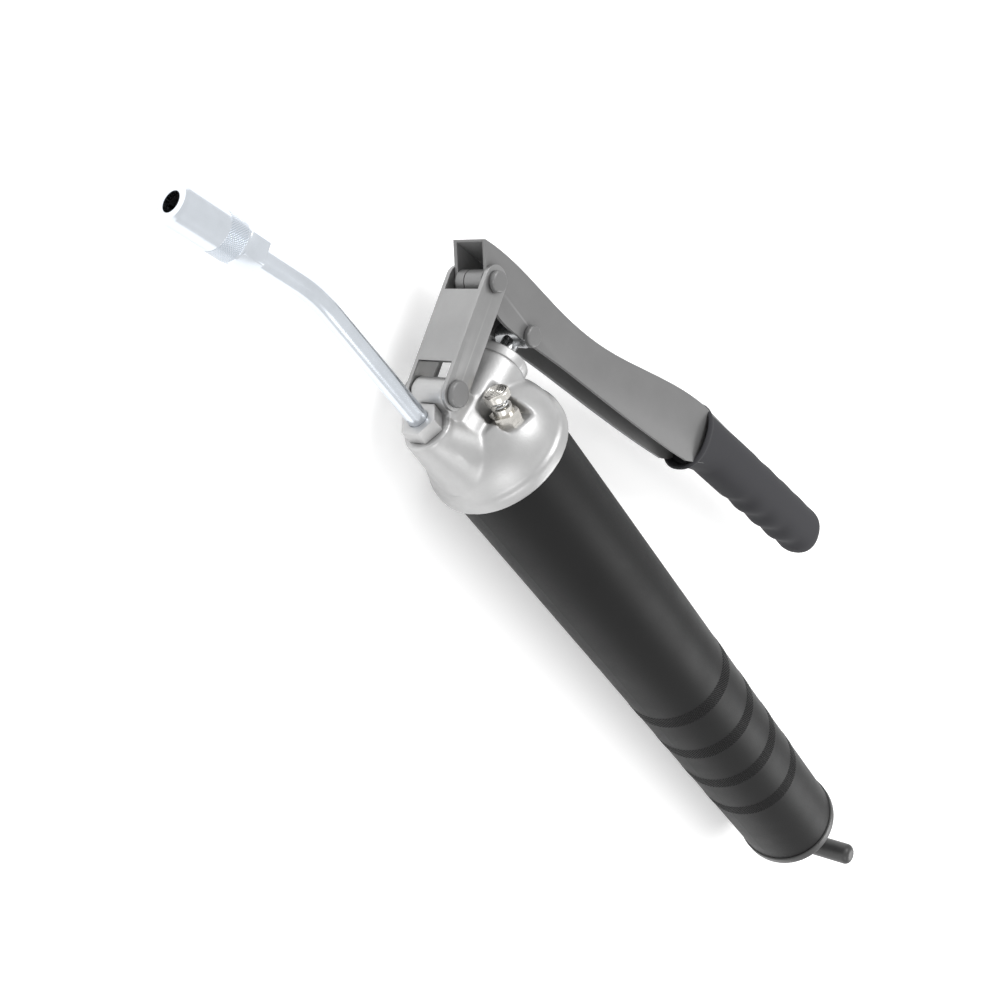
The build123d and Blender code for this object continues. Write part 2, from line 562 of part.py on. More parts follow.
# ================= Plunger =================
with BuildPart() as plunger:
    rod(along_y(PLUNGER_PIN_Y), PLUNGER_RADIUS, PLUNGER_TIP_Y - PLUNGER_PIN_Y)
    rod(along_z(SIDE_GAP - LEVER_INNER, *plunger_pin), EYE_RADIUS, 2 * (LEVER_INNER - SIDE_GAP))
    rod(along_z(-LEVER_INNER, *plunger_pin), PLUNGER_PIN_RADIUS + SEAT_GAP, 2 * LEVER_INNER, mode=Mode.SUBTRACT)
finish(plunger, "plunger")

with BuildPart() as plunger_pin_piece:
    headed_pin(plunger_pin, LEVER_HALF_WIDTH + SIDE_GAP, PLUNGER_PIN_RADIUS, PLUNGER_PIN_HEAD)
finish(plunger_pin_piece, "plunger_pin")
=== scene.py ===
"""Looks of a lever grease gun: cast head, pressed lever, zinc outlet tube, black barrel and grip."""

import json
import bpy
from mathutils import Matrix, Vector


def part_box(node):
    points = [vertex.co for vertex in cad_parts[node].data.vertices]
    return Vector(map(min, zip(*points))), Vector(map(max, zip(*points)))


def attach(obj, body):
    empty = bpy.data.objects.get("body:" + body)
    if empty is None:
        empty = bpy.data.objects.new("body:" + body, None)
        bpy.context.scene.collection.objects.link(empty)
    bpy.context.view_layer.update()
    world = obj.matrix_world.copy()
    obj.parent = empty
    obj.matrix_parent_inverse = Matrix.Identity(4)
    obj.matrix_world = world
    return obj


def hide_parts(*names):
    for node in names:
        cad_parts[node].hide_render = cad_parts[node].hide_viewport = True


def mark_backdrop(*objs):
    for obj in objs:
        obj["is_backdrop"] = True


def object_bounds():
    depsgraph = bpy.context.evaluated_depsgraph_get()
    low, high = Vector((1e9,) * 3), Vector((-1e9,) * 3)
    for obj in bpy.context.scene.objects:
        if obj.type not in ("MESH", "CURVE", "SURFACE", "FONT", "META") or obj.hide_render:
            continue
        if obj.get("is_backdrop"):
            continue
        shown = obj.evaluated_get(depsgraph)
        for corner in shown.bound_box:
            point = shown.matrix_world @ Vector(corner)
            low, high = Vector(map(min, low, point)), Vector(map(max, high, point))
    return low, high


bl_info = {
    "name": "Lever Grease Gun",
    "version": (1, 0, 0),
    "blender": (4, 5, 0),
    "location": "3D View > Sidebar > Grease Gun",
    "description": "Builds the visible pieces and finishes of a lever grease gun",
    "category": "Object",
}

from math import cos, pi, radians, sin, tau

import bmesh
import bpy
from bpy.props import FloatProperty, FloatVectorProperty, IntProperty, PointerProperty
from mathutils import Matrix, Vector

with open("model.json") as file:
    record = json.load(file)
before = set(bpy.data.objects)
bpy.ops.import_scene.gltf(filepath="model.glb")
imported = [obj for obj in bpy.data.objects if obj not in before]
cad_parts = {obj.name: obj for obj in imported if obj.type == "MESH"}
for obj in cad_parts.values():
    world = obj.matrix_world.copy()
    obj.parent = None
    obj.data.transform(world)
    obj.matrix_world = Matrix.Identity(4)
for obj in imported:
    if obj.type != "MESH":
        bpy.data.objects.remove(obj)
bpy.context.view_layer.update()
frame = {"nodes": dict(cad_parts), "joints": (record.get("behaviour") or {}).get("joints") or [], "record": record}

MM = 0.001
BODIES = frame["record"]["behaviour"]["bodies"]
BODY_OF = {node: body for body, nodes in BODIES.items() for node in nodes}
NOZZLE_MOUNT = next(m for m in frame["record"]["mounts"] if m["name"] == "coupler_face")
BUTTON_AXIS = Vector(next(j for j in frame["joints"] if j["name"] == "bleeder_press")["axis"])

# Nodes that keep their own mesh, with the finish of each
PLAIN_NODES = {
    "barrel": "barrel_coat", "rod_bushing": "black_plastic", "barrel_gasket": "black_rubber",
    "plunger_seal": "black_rubber", "outlet_ball": "ground_steel", "outlet_spring": "ground_steel",
    "outlet_tube": "zinc", "coupler_seal": "black_rubber", "coupler_jaws": "dark_steel",
    "bleeder_spring": "ground_steel", "follower_rod": "ground_steel", "follower_cup": "black_rubber",
    "follower_washers": "ground_steel", "rod_nut": "ground_steel", "follower_spring": "ground_steel",
    "plunger": "ground_steel", "pin_spacers": "lever_grey", "coupler_sleeve": "zinc",
    "bleeder_button": "nickel", "bleeder_body": "nickel",
}
# Nodes whose edges are rounded over: finish and the radius in millimetres
ROUNDED_NODES = {
    "lever": ("lever_grey", 0.8), "toggle_link": ("link_steel", 0.45), "link_lower_pin": ("lever_grey", 0.5),
    "link_upper_pin": ("lever_grey", 0.5), "plunger_pin": ("lever_grey", 0.5),
    "plunger_gland": ("cast_metal", 0.5),
    "outlet_nut": ("cast_metal", 0.4), "coupler_body": ("zinc", 0.4), "end_cap": ("black_plastic", 0.6),
    "rod_handle": ("black_plastic", 0.5),
}


# Finishes: colour, metallic, roughness, tone spread, grain scale, bump in millimetres, edge wear, gloss.
# A colour of None comes from the panel.
FINISHES = {
    "cast_metal": ((0.44, 0.44, 0.44), 0.8, 0.44, 0.07, 1400, 0.10, 0.4, 0.5),
    "lever_grey": ((0.165, 0.165, 0.165), 0.35, 0.46, 0.05, 2200, 0.02, 0.3, 0.5),
    "link_steel": ((0.30, 0.30, 0.30), 0.85, 0.36, 0.06, 2200, 0.02, 0.4, 0.5),
    "zinc": ((0.66, 0.70, 0.75), 1.0, 0.22, 0.05, 900, 0.012, 0.0, 0.5),
    "nickel": ((0.66, 0.64, 0.60), 1.0, 0.26, 0.06, 900, 0.012, 0.3, 0.5),
    "ground_steel": ((0.56, 0.57, 0.58), 1.0, 0.28, 0.05, 1800, 0.01, 0.0, 0.5),
    "dark_steel": ((0.03, 0.03, 0.03), 0.8, 0.4, 0.1, 1800, 0.02, 0.0, 0.5),
    "barrel_coat": (None, 0.0, 0.48, 0.10, 1900, 0.03, 0.0, 0.15),
    "black_plastic": ((0.007, 0.007, 0.0075), 0.0, 0.42, 0.1, 1500, 0.03, 0.0, 0.15),
    "black_rubber": ((0.02, 0.02, 0.02), 0.0, 0.7, 0.1, 1500, 0.05, 0.0, 0.5),
    "grip_vinyl": (None, 0.0, 0.42, 0.1, 1300, 0.05, 0.0, 0.15),
}
NOISE_LOW, NOISE_HIGH = 0.3, 0.7        # part of the noise that the tone and roughness use
ROUGH_LOW, ROUGH_HIGH = 0.88, 1.12      # swing of the roughness
EDGE_LOW, EDGE_HIGH = 0.52, 0.62        # pointiness where wear starts and is full
WORN_GAIN, WORN_LIFT = 1.9, 0.05        # how much lighter a worn edge is

# Knurls
BAND_SINK, BAND_TOOTH = 0.1 * MM, 0.34 * MM
COUPLER_SINK, COUPLER_TOOTH = 0.05 * MM, 0.3 * MM
TOOTH_TOP = 0.35                        # top of a tooth as a share of its base

# Head
HEAD_VOXEL = 0.75 * MM
HEAD_SMOOTH, HEAD_PASSES = 0.5, 9

# Grip
GRIP_START = Vector((-0.113, -0.1, 0))
GRIP_SLOPE = radians(13.5)
GRIP_LENGTH = 160 * MM
GRIP_MOUTH = 26 * MM
GRIP_END = 14 * MM
GRIP_DEPTH, GRIP_WIDTH = 14.0 * MM, 12.1 * MM   # half depth and half width
GRIP_SWELL = 0.5 * MM
MOUTH_FLARE, MOUTH_SHIFT, MOUTH_POWER = 4.2 * MM, 3.4 * MM, 1.6
END_POWER, END_LEAST = 2.2, 0.02
SECTION_POWER = 0.88                    # under 1 makes the section squarer
MOUTH_RINGS = [(4.0 * MM, 0.86), (0.6 * MM, 0.90), (-0.4 * MM, 0.97), (-0.2 * MM, 1.0)]
LIP_PLACE, LIP_REACH = 1.6 * MM, 2.2 * MM
SCALLOP_START, SCALLOP_MARGIN, SCALLOP_POWER = 58 * MM, 72 * MM, 1.2
BACK_SCALLOP = 0.35                     # depth of the hollows on the far side
GRIP_AROUND, GRIP_STEPS = 48, 150

# Rings on the bleeder button
RING_RADII = (1.2 * MM, 2.5 * MM, 3.8 * MM)
RING_WIRE = 0.22 * MM
RING_AROUND, RING_SIDES = 40, 6
CROWN_DEPTH = 0.1 * MM

# Stage: each lamp's name, place, size and power
LAMPS = (
    ("key", (0.5, -0.7, 1.1), 0.7, 9.0), ("fill", (-0.3, 1.1, 0.9), 0.9, 4.0),
    ("rear", (-1.1, -0.2, 0.7), 0.6, 4.0),
)
FLOOR_REACH, FLOOR_DROP = 12.0, 0.5 * MM
FLOOR_ROUGHNESS, FLOOR_GLOW = 0.9, 0.25
WORLD_STRENGTH = 0.92
SENSOR_WIDTH = 36
CLIP_START = 0.01


def length_setting(name, description, millimetres):
    """Panel setting for a length."""
    return FloatProperty(name=name, description=description, default=millimetres * MM, unit="LENGTH")


def color_setting(name, description, value):
    """Panel setting for a colour."""
    return FloatVectorProperty(name=name, description=description, default=value, subtype="COLOR")


def point_setting(name, description, value):
    """Panel setting for a point in metres."""
    return FloatVectorProperty(name=name, description=description, default=value, unit="LENGTH")


class BarrelSizes(bpy.types.PropertyGroup):
    band_count: IntProperty(name="Bands", description="Knurled bands round the barrel", default=4, min=1)
    band_first: length_setting("First band", "From the rim to the first band", 195)
    band_pitch: length_setting("Band pitch", "From one band to the next", 36.5)
    band_width: length_setting("Band width", "Length of one band", 9)
    tooth_pitch: length_setting("Tooth pitch", "Distance between knurl teeth", 1.7)
    coat: color_setting("Coat", "Powder coat colour", (0.006, 0.006, 0.0062))


class CouplerSizes(bpy.types.PropertyGroup):
    knurl_start: length_setting("Knurl start", "From the nose to the knurled band", 19)
    knurl_width: length_setting("Knurl width", "Length of the knurled band", 7.4)
    tooth_pitch: length_setting("Tooth pitch", "Distance between knurl teeth", 1.0)


class GripSizes(bpy.types.PropertyGroup):
    scallops: IntProperty(name="Scallops", description="Finger hollows on the barrel side", default=4, min=0)
    scallop_depth: length_setting("Scallop depth", "Depth of a finger hollow", 1.5)
    lip: length_setting("Lip", "How far the mouth's lip stands out", 1.1)
    vinyl: color_setting(
        "Vinyl", "Grip colour, unless the frame has its own grip_vinyl", (0.005, 0.005, 0.0052),
    )


class StageSizes(bpy.types.PropertyGroup):
    eye: point_setting("Eye", "Place of the camera", (0.3543, 0.2295, 0.3453))
    aim: point_setting("Aim", "Point the camera looks at", (-0.048, -0.0051, -0.0329))
    roll: FloatProperty(
        name="Roll", description="Turn of the camera about its line of sight",
        default=radians(97.9), subtype="ANGLE",
    )
    lens: FloatProperty(name="Lens", description="Focal length on a 36 mm sensor", default=46.13)
    floor: color_setting("Floor", "Floor colour", (0.93, 0.93, 0.93))


# ---------------- Shader groups and materials ----------------
def add_node(tree, kind, **values):
    """Add a node and set its attributes; keys that are numbers or socket names set inputs."""
    node = tree.nodes.new(kind)
    for key, value in values.pop("inputs", {}).items():
        node.inputs[key].default_value = value
    for key, value in values.items():
        setattr(node, key, value)
    return node


def grain_group():
    """Fine grain for a surface: a mask and a height, at a size in object space."""
    name = "Surface Grain"
    if name in bpy.data.node_groups:
        return bpy.data.node_groups[name]
    tree = bpy.data.node_groups.new(name, "ShaderNodeTree")
    face = tree.interface
    for label, value in (("Fine Scale", 1500.0), ("Broad Scale", 60.0), ("Broad Share", 0.5)):
        face.new_socket(name=label, in_out="INPUT", socket_type="NodeSocketFloat").default_value = value
    face.new_socket(name="Height", in_out="OUTPUT", socket_type="NodeSocketFloat")
    face.new_socket(name="Blotch", in_out="OUTPUT", socket_type="NodeSocketFloat")
    start = add_node(tree, "NodeGroupInput")
    end = add_node(tree, "NodeGroupOutput")
    place = add_node(tree, "ShaderNodeTexCoord")
    fine = add_node(tree, "ShaderNodeTexNoise", inputs={"Detail": 2.0})
    broad = add_node(tree, "ShaderNodeTexNoise", inputs={"Detail": 4.0, "Roughness": 0.6})
    mix = add_node(tree, "ShaderNodeMix", data_type="FLOAT")
    link = tree.links.new
    link(place.outputs["Object"], fine.inputs["Vector"])
    link(place.outputs["Object"], broad.inputs["Vector"])
    link(start.outputs["Fine Scale"], fine.inputs["Scale"])
    link(start.outputs["Broad Scale"], broad.inputs["Scale"])
    link(start.outputs["Broad Share"], mix.inputs[0])
    link(fine.outputs["Fac"], mix.inputs[2])
    link(broad.outputs["Fac"], mix.inputs[3])
    link(mix.outputs[0], end.inputs["Height"])
    link(broad.outputs["Fac"], end.inputs["Blotch"])
    return tree


def finish_material(name, color, metallic, roughness, spread, grain, bump, wear, gloss):
    """A finish: two tones mixed by the blotch mask, rough grain and worn edges.

    When the frame already has a material of this name, that one is returned as it is.
    """
    if name in bpy.data.materials:
        return bpy.data.materials[name]
    material = bpy.data.materials.new(name)
    material.use_nodes = True
    material.diffuse_color = (*color, 1)
    tree = material.node_tree
    link = tree.links.new
    shader = tree.nodes["Principled BSDF"]
    shader.inputs["Metallic"].default_value = metallic
    shader.inputs["Specular IOR Level"].default_value = gloss
    group = add_node(tree, "ShaderNodeGroup", node_tree=grain_group())
    group.inputs["Fine Scale"].default_value = grain
    tone = add_node(tree, "ShaderNodeValToRGB")
    dark = [c * (1 - spread) for c in color]
    light = [min(1.0, c * (1 + spread)) for c in color]
    tone.color_ramp.elements[0].position = NOISE_LOW
    tone.color_ramp.elements[0].color = (*dark, 1)
    tone.color_ramp.elements[1].position = NOISE_HIGH
    tone.color_ramp.elements[1].color = (*light, 1)
    link(group.outputs["Blotch"], tone.inputs["Fac"])
    color_out = tone.outputs["Color"]
    if wear:
        shape = add_node(tree, "ShaderNodeNewGeometry")
        edge = add_node(tree, "ShaderNodeMapRange",
                        inputs={"From Min": EDGE_LOW, "From Max": EDGE_HIGH, "To Max": wear})
        worn = add_node(tree, "ShaderNodeMix", data_type="RGBA")
        worn.inputs[7].default_value = (*[min(1.0, c * WORN_GAIN + WORN_LIFT) for c in color], 1)
        link(shape.outputs["Pointiness"], edge.inputs["Value"])
        link(edge.outputs["Result"], worn.inputs[0])
        link(color_out, worn.inputs[6])
        color_out = worn.outputs[2]
    link(color_out, shader.inputs["Base Color"])
    rough = add_node(tree, "ShaderNodeMapRange", inputs={
        "From Min": NOISE_LOW, "From Max": NOISE_HIGH,
        "To Min": roughness * ROUGH_LOW, "To Max": roughness * ROUGH_HIGH,
    })
    link(group.outputs["Height"], rough.inputs["Value"])
    link(rough.outputs["Result"], shader.inputs["Roughness"])
    relief = add_node(tree, "ShaderNodeBump", inputs={"Strength": 1.0, "Distance": bump * MM})
    link(group.outputs["Height"], relief.inputs["Height"])
    link(relief.outputs["Normal"], shader.inputs["Normal"])
    return material


def finishes():
    """Every finish of the gun, by name."""
    scene = bpy.context.scene
    chosen = {
        "barrel_coat": tuple(scene.grease_gun_barrel.coat),
        "grip_vinyl": tuple(scene.grease_gun_grip.vinyl),
    }
    return {
        name: finish_material(name, chosen.get(name, color), *values)
        for name, (color, *values) in FINISHES.items()
    }


# ---------------- Mesh helpers ----------------
def keep(mesh, name, body, material, stands_for=()):
    """Put a finished mesh in the scene as a piece of one body."""
    piece = bpy.data.objects.new(name, mesh)
    bpy.context.collection.objects.link(piece)
    mesh.materials.clear()
    mesh.materials.append(material)
    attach(piece, body)
    if stands_for:
        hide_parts(*stands_for)
    return piece


def shade(mesh, sharp=32):
    """Smooth shading with sharp edges above an angle in degrees."""
    work = bmesh.new()
    work.from_mesh(mesh)
    for face in work.faces:
        face.smooth = True
    for edge in work.edges:
        edge.smooth = edge.calc_face_angle(0.0) < radians(sharp)
    work.to_mesh(mesh)
    work.free()


def merged_copy(node, flatten=True):
    """Copy of a CAD node's mesh with shared corners and whole flat faces."""
    mesh = frame["nodes"][node].data.copy()
    work = bmesh.new()
    work.from_mesh(mesh)
    bmesh.ops.remove_doubles(work, verts=work.verts, dist=0.002 * MM)
    if flatten:
        bmesh.ops.dissolve_limit(work, angle_limit=radians(0.6), verts=work.verts, edges=work.edges)
    clean = bpy.data.meshes.new(node + "_copy")
    work.to_mesh(clean)
    work.free()
    return clean


def settled(source):
    """Plain mesh of an object with its modifiers, and the object removed."""
    graph = bpy.context.evaluated_depsgraph_get()
    mesh = bpy.data.meshes.new_from_object(source.evaluated_get(graph), depsgraph=graph)
    source.modifiers.clear()
    bpy.data.objects.remove(source)
    return mesh


def rounded(node, radius):
    """Mesh of a CAD node with its sharp edges rounded over."""
    source = bpy.data.objects.new("source", merged_copy(node))
    bpy.context.collection.objects.link(source)
    bevel = source.modifiers.new("Round", "BEVEL")
    bevel.width = radius * MM
    bevel.segments = 3
    bevel.limit_method = "ANGLE"
    bevel.angle_limit = radians(38)
    bevel.use_clamp_overlap = True
    mesh = settled(source)
    shade(mesh)
    return mesh


# ---------------- Geometry Nodes ----------------
def knurl_tree():
    """Rows of four-sided teeth round the X axis; every other row is shifted by half a pitch."""
    name = "Knurled Band"
    if name in bpy.data.node_groups:
        return bpy.data.node_groups[name]
    tree = bpy.data.node_groups.new(name, "GeometryNodeTree")
    face = tree.interface
    face.new_socket(name="Geometry", in_out="INPUT", socket_type="NodeSocketGeometry")
    kinds = {
        "Radius": "Float", "Length": "Float", "Around": "Int", "Rows": "Int", "Height": "Float",
        "Tooth": "Float", "Material": "Material",
    }
    for label, kind in kinds.items():
        face.new_socket(name=label, in_out="INPUT", socket_type="NodeSocket" + kind)
    face.new_socket(name="Geometry", in_out="OUTPUT", socket_type="NodeSocketGeometry")
    start = add_node(tree, "NodeGroupInput")
    end = add_node(tree, "NodeGroupOutput")
    link = tree.links.new

    def math(operation, first, second=None):
        node = add_node(tree, "ShaderNodeMath", operation=operation)
        for socket, value in zip(node.inputs, (first, second)):
            if isinstance(value, (int, float)):
                socket.default_value = value
            elif value is not None:
                link(value, socket)
        return node.outputs[0]

    index = add_node(tree, "GeometryNodeInputIndex").outputs[0]
    around, rows = start.outputs["Around"], start.outputs["Rows"]
    row = math("FLOOR", math("DIVIDE", math("ADD", index, 0.5), around))
    column = math("SUBTRACT", index, math("MULTIPLY", row, around))
    shift = math("MULTIPLY", math("MODULO", row, 2.0), 0.5)
    angle = math("MULTIPLY", math("DIVIDE", math("ADD", column, shift), around), tau)
    share = math("SUBTRACT", math("DIVIDE", row, math("SUBTRACT", rows, 1.0)), 0.5)
    place = add_node(tree, "ShaderNodeCombineXYZ")
    out = add_node(tree, "ShaderNodeCombineXYZ")
    link(math("MULTIPLY", share, start.outputs["Length"]), place.inputs[0])
    for axis, wave in ((1, "COSINE"), (2, "SINE")):
        part = math(wave, angle)
        link(math("MULTIPLY", part, start.outputs["Radius"]), place.inputs[axis])
        link(part, out.inputs[axis])
    points = add_node(tree, "GeometryNodePoints")
    link(math("MULTIPLY", around, rows), points.inputs["Count"])
    link(place.outputs[0], points.inputs["Position"])
    tooth = add_node(tree, "GeometryNodeMeshCone", inputs={"Vertices": 4})
    link(start.outputs["Tooth"], tooth.inputs["Radius Bottom"])
    link(math("MULTIPLY", start.outputs["Tooth"], TOOTH_TOP), tooth.inputs["Radius Top"])
    link(start.outputs["Height"], tooth.inputs["Depth"])
    turn = add_node(tree, "FunctionNodeAlignRotationToVector", axis="Z", pivot_axis="X")
    link(out.outputs[0], turn.inputs["Vector"])
    spread = add_node(tree, "GeometryNodeInstanceOnPoints")
    link(points.outputs[0], spread.inputs["Points"])
    link(tooth.outputs["Mesh"], spread.inputs["Instance"])
    link(turn.outputs[0], spread.inputs["Rotation"])
    real = add_node(tree, "GeometryNodeRealizeInstances")
    paint = add_node(tree, "GeometryNodeSetMaterial")
    link(spread.outputs[0], real.inputs[0])
    link(real.outputs[0], paint.inputs["Geometry"])
    link(start.outputs["Material"], paint.inputs["Material"])
    link(paint.outputs[0], end.inputs[0])
    return tree


def knurl_mesh(radius, length, pitch, height, material):
    """Plain mesh of one knurled band about the X axis, centred on the origin."""
    tree = knurl_tree()
    source = bpy.data.objects.new("knurl_source", bpy.data.meshes.new("knurl_source"))
    bpy.context.collection.objects.link(source)
    modifier = source.modifiers.new("Knurl", "NODES")
    modifier.node_group = tree
    around = round(tau * radius / pitch)
    values = {
        "Radius": radius, "Length": length, "Around": around, "Rows": round(2 * length / pitch) + 1,
        "Height": height, "Tooth": pitch * 0.5, "Material": material,
    }
    for item in tree.interface.items_tree:
        if item.in_out == "INPUT" and item.name in values:
            modifier[item.identifier] = values[item.name]
    return settled(source)


# ---------------- Operators ----------------
class GREASEGUN_OT_plain(bpy.types.Operator):
    """Give the turned, drawn and coiled pieces their finishes"""
    bl_idname = "grease_gun.plain"
    bl_label = "Plain Pieces"

    def execute(self, context):
        looks = finishes()
        for node, look in PLAIN_NODES.items():
            mesh = frame["nodes"][node].data
            mesh.materials.clear()
            mesh.materials.append(looks[look])
        return {"FINISHED"}


class GREASEGUN_OT_rounded(bpy.types.Operator):
    """Build the pressed, machined and moulded pieces with rounded edges"""
    bl_idname = "grease_gun.rounded"
    bl_label = "Rounded Pieces"

    def execute(self, context):
        looks = finishes()
        for node, (look, radius) in ROUNDED_NODES.items():
            keep(rounded(node, radius), node + "_skin", BODY_OF[node], looks[look], (node,))
        return {"FINISHED"}


class GREASEGUN_OT_head(bpy.types.Operator):
    """Build the die-cast head with soft fillets between its bosses"""
    bl_idname = "grease_gun.head"
    bl_label = "Cast Head"

    def execute(self, context):
        source = bpy.data.objects.new("head_source", merged_copy("head_casting", flatten=False))
        context.collection.objects.link(source)
        remesh = source.modifiers.new("Even", "REMESH")
        remesh.mode = "VOXEL"
        remesh.voxel_size = HEAD_VOXEL
        soften = source.modifiers.new("Soften", "SMOOTH")
        soften.factor = HEAD_SMOOTH
        soften.iterations = HEAD_PASSES
        mesh = settled(source)
        shade(mesh, sharp=60)
        keep(mesh, "head_casting_skin", BODY_OF["head_casting"], finishes()["cast_metal"], ("head_casting",))
        return {"FINISHED"}


class GREASEGUN_OT_bands(bpy.types.Operator):
    """Build the knurled bands round the barrel and the coupler"""
    bl_idname = "grease_gun.bands"
    bl_label = "Knurled Bands"

    def execute(self, context):
        looks = finishes()
        sizes = context.scene.grease_gun_barrel
        low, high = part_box("barrel")
        radius = (high.y - low.y) / 2
        for number in range(sizes.band_count):
            mesh = knurl_mesh(radius - BAND_SINK, sizes.band_width, sizes.tooth_pitch, BAND_TOOTH,
                              looks["barrel_coat"])
            mesh.transform(Matrix.Translation((-sizes.band_first - number * sizes.band_pitch, 0, 0)))
            keep(mesh, f"barrel_band_{number + 1}", "gun", looks["barrel_coat"])
        coupler = context.scene.grease_gun_coupler
        low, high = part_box("coupler_sleeve")
        mesh = knurl_mesh((high.z - low.z) / 2 - COUPLER_SINK, coupler.knurl_width, coupler.tooth_pitch,
                          COUPLER_TOOTH, looks["zinc"])
        axis = Vector(NOZZLE_MOUNT["axis"]).normalized()
        face = Vector(NOZZLE_MOUNT["pos_m"])
        face.z = 0
        centre = face - axis * (coupler.knurl_start + coupler.knurl_width / 2)
        turn = Vector((1, 0, 0)).rotation_difference(axis).to_matrix().to_4x4()
        mesh.transform(Matrix.Translation(centre) @ turn)
        keep(mesh, "coupler_knurl", "gun", looks["zinc"])
        return {"FINISHED"}


def grip_section(s):
    """Half depth, half width and centre shift at a distance along the grip."""
    flare = max(0.0, 1 - s / GRIP_MOUTH) ** MOUTH_POWER
    swell = GRIP_SWELL * sin(pi * min(1.0, max(0.0, (s - GRIP_MOUTH) / (GRIP_LENGTH - GRIP_MOUTH))))
    depth = GRIP_DEPTH + swell + MOUTH_FLARE * flare
    width = GRIP_WIDTH + swell
    if s > GRIP_LENGTH - GRIP_END:
        t = (s - GRIP_LENGTH + GRIP_END) / GRIP_END
        shrink = max(END_LEAST, (1 - t ** END_POWER)) ** 0.5
        depth, width = GRIP_DEPTH * shrink, width * shrink
    return depth, width, MOUTH_SHIFT * flare


def squarer(wave):
    """A sine or cosine drawn out towards its ends."""
    return abs(wave) ** SECTION_POWER * (1 if wave > 0 else -1)


def grip_ring(sizes, s, scale, direction, side):
    """Points of one ring; a scale marks the rings that turn the mouth inwards."""
    depth, width, shift = grip_section(max(0.0, s))
    bead = sizes.lip * max(0.0, 1 - abs(s - LIP_PLACE) / LIP_REACH) if scale is None else 0.0
    ring = []
    for i in range(GRIP_AROUND):
        a = tau * i / GRIP_AROUND
        ca, sa = cos(a), sin(a)
        hollow = 0.0
        t = (s - SCALLOP_START) / (GRIP_LENGTH - SCALLOP_MARGIN)
        if scale is None and 0 < t < 1:
            wave = sin(pi * t * sizes.scallops) ** 2
            hollow = sizes.scallop_depth * wave * max(0.0, ca) ** SCALLOP_POWER
            hollow += BACK_SCALLOP * sizes.scallop_depth * wave * max(0.0, -ca) ** SCALLOP_POWER
        d = (depth + bead) * (scale or 1) - hollow
        w = (width + bead) * (scale or 1)
        centre = GRIP_START + direction * s + side * shift
        ring.append(centre + side * (d * squarer(ca)) + Vector((0, 0, w * squarer(sa))))
    return ring


class GREASEGUN_OT_grip(bpy.types.Operator):
    """Build the moulded vinyl grip: flared mouth with a lip, finger hollows and a round end"""
    bl_idname = "grease_gun.grip"
    bl_label = "Lever Grip"

    def execute(self, context):
        sizes = context.scene.grease_gun_grip
        direction = Vector((-cos(GRIP_SLOPE), -sin(GRIP_SLOPE), 0))
        side = Vector((direction.y, -direction.x, 0))      # across the grip, towards the barrel
        places = MOUTH_RINGS + [(GRIP_LENGTH * i / GRIP_STEPS, None) for i in range(GRIP_STEPS + 1)]
        rings = [grip_ring(sizes, s, scale, direction, side) for s, scale in places]
        work = bmesh.new()
        rows = [[work.verts.new(p) for p in ring] for ring in rings]
        for low, high in zip(rows, rows[1:]):
            for i in range(GRIP_AROUND):
                j = (i + 1) % GRIP_AROUND
                work.faces.new((low[i], low[j], high[j], high[i]))
        work.faces.new(rows[0])
        work.faces.new(rows[-1])
        bmesh.ops.recalc_face_normals(work, faces=work.faces)
        mesh = bpy.data.meshes.new("grip")
        work.to_mesh(mesh)
        work.free()
        shade(mesh, sharp=50)
        keep(mesh, "lever_grip_skin", BODY_OF["lever_grip"], finishes()["grip_vinyl"], ("lever_grip",))
        return {"FINISHED"}


class GREASEGUN_OT_button(bpy.types.Operator):
    """Turn fine rings on the bleeder button's face"""
    bl_idname = "grease_gun.button"
    bl_label = "Bleeder Button Rings"

    def execute(self, context):
        out = -BUTTON_AXIS
        points = [v.co for v in frame["nodes"]["bleeder_button"].data.vertices]
        top = max(p.dot(out) for p in points)
        crown = [p for p in points if p.dot(out) > top - CROWN_DEPTH]
        centre = sum(crown, Vector()) / len(crown)
        turn = Vector((0, 0, 1)).rotation_difference(out).to_matrix().to_4x4()
        work = bmesh.new()
        for radius in RING_RADII:
            rows = []
            for i in range(RING_AROUND):
                a = tau * i / RING_AROUND
                ring = []
                for j in range(RING_SIDES):
                    b = tau * j / RING_SIDES
                    reach = radius + RING_WIRE * cos(b)
                    ring.append(work.verts.new((reach * cos(a), reach * sin(a), RING_WIRE * sin(b))))
                rows.append(ring)
            for i in range(RING_AROUND):
                low, high = rows[i], rows[(i + 1) % RING_AROUND]
                for j in range(RING_SIDES):
                    k = (j + 1) % RING_SIDES
                    work.faces.new((low[j], high[j], high[k], low[k]))
        bmesh.ops.recalc_face_normals(work, faces=work.faces)
        mesh = bpy.data.meshes.new("rings")
        work.to_mesh(mesh)
        work.free()
        mesh.transform(Matrix.Translation(centre) @ turn)
        shade(mesh)
        keep(mesh, "bleeder_button_rings", "bleeder_button", finishes()["nickel"])
        return {"FINISHED"}


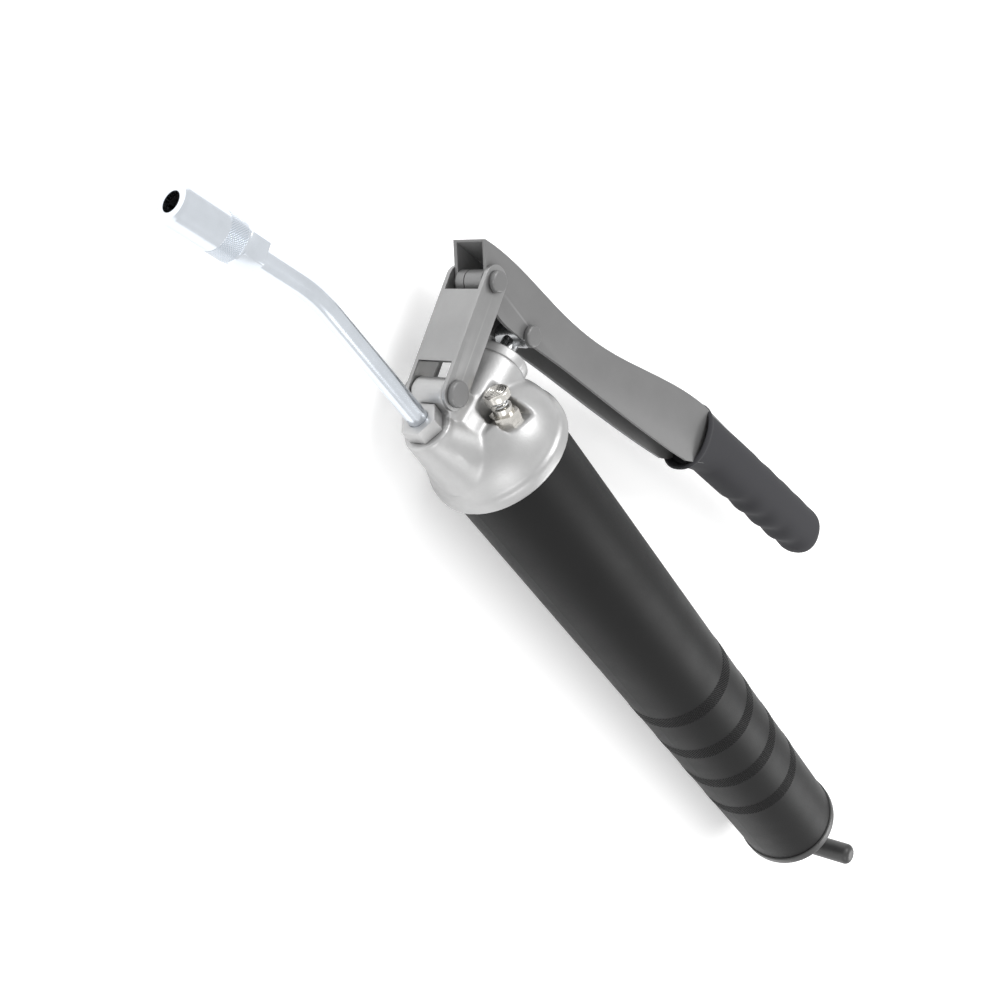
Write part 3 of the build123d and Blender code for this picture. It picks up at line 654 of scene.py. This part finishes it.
class GREASEGUN_OT_stage(bpy.types.Operator):
    """Set up the pale floor, the soft studio light and the camera"""
    bl_idname = "grease_gun.stage"
    bl_label = "Stage"

    def execute(self, context):
        sizes = context.scene.grease_gun_stage
        low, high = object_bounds()
        floor_mesh = bpy.data.meshes.new("floor")
        reach, base = FLOOR_REACH, low[2] - FLOOR_DROP
        corners = [(-reach, -reach, base), (reach, -reach, base), (reach, reach, base), (-reach, reach, base)]
        floor_mesh.from_pydata(corners, [], [(0, 1, 2, 3)])
        floor = bpy.data.objects.new("floor", floor_mesh)
        context.collection.objects.link(floor)
        paper = bpy.data.materials.new("paper")
        paper.use_nodes = True
        shader = paper.node_tree.nodes["Principled BSDF"]
        shader.inputs["Base Color"].default_value = (*sizes.floor, 1)
        shader.inputs["Roughness"].default_value = FLOOR_ROUGHNESS
        shader.inputs["Emission Color"].default_value = (1, 1, 1, 1)
        shader.inputs["Emission Strength"].default_value = FLOOR_GLOW
        floor_mesh.materials.append(paper)
        staged = [floor]
        world = bpy.data.worlds.new("studio")
        world.use_nodes = True
        world.node_tree.nodes["Background"].inputs[0].default_value = (1, 1, 1, 1)
        world.node_tree.nodes["Background"].inputs[1].default_value = WORLD_STRENGTH
        context.scene.world = world
        middle = Vector((low[0] + high[0], low[1] + high[1], 0)) / 2
        for name, place, size, power in LAMPS:
            light = bpy.data.lights.new(name, "AREA")
            light.shape = "DISK"
            light.size = size
            light.energy = power
            lamp = bpy.data.objects.new(name, light)
            context.collection.objects.link(lamp)
            lamp.location = place
            lamp.rotation_euler = (Vector(place) - middle).to_track_quat("Z", "Y").to_euler()
            staged.append(lamp)
        view = bpy.data.cameras.new("view")
        view.lens = sizes.lens
        view.sensor_width = SENSOR_WIDTH
        view.clip_start = CLIP_START
        camera = bpy.data.objects.new("view", view)
        context.collection.objects.link(camera)
        back = (Vector(sizes.eye) - Vector(sizes.aim)).normalized()
        right = Vector((0, 0, 1)).cross(back).normalized()
        up = back.cross(right)
        turned_right = right * cos(sizes.roll) + up * sin(sizes.roll)
        turned_up = back.cross(turned_right)
        turn = Matrix((turned_right, turned_up, back)).transposed().to_4x4()
        camera.matrix_world = Matrix.Translation(sizes.eye) @ turn
        context.scene.camera = camera
        context.scene.view_settings.view_transform = "Standard"
        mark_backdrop(*staged, camera)
        return {"FINISHED"}


class GREASEGUN_PT_panel(bpy.types.Panel):
    """Lists the pieces of the grease gun"""
    bl_idname = "GREASEGUN_PT_panel"
    bl_label = "Grease Gun"
    bl_space_type = "VIEW_3D"
    bl_region_type = "UI"
    bl_category = "Grease Gun"

    def draw(self, context):
        for group in GROUPS:
            settings = getattr(context.scene, group)
            for key in settings.__annotations__:
                self.layout.prop(settings, key)
        for operator in OPERATORS:
            self.layout.operator(operator.bl_idname)


GROUPS = {
    "grease_gun_barrel": BarrelSizes, "grease_gun_coupler": CouplerSizes,
    "grease_gun_grip": GripSizes, "grease_gun_stage": StageSizes,
}
OPERATORS = (
    GREASEGUN_OT_plain, GREASEGUN_OT_rounded, GREASEGUN_OT_head, GREASEGUN_OT_bands,
    GREASEGUN_OT_grip, GREASEGUN_OT_button, GREASEGUN_OT_stage,
)


def register():
    for name, group in GROUPS.items():
        bpy.utils.register_class(group)
        setattr(bpy.types.Scene, name, PointerProperty(type=group))
    for item in (*OPERATORS, GREASEGUN_PT_panel):
        bpy.utils.register_class(item)


def unregister():
    for item in reversed((*OPERATORS, GREASEGUN_PT_panel)):
        bpy.utils.unregister_class(item)
    for name, group in GROUPS.items():
        delattr(bpy.types.Scene, name)
        bpy.utils.unregister_class(group)


def main():
    register()
    for operator in OPERATORS:
        family, name = operator.bl_idname.split(".")
        getattr(getattr(bpy.ops, family), name)()


if __name__ == "__main__":
    main()
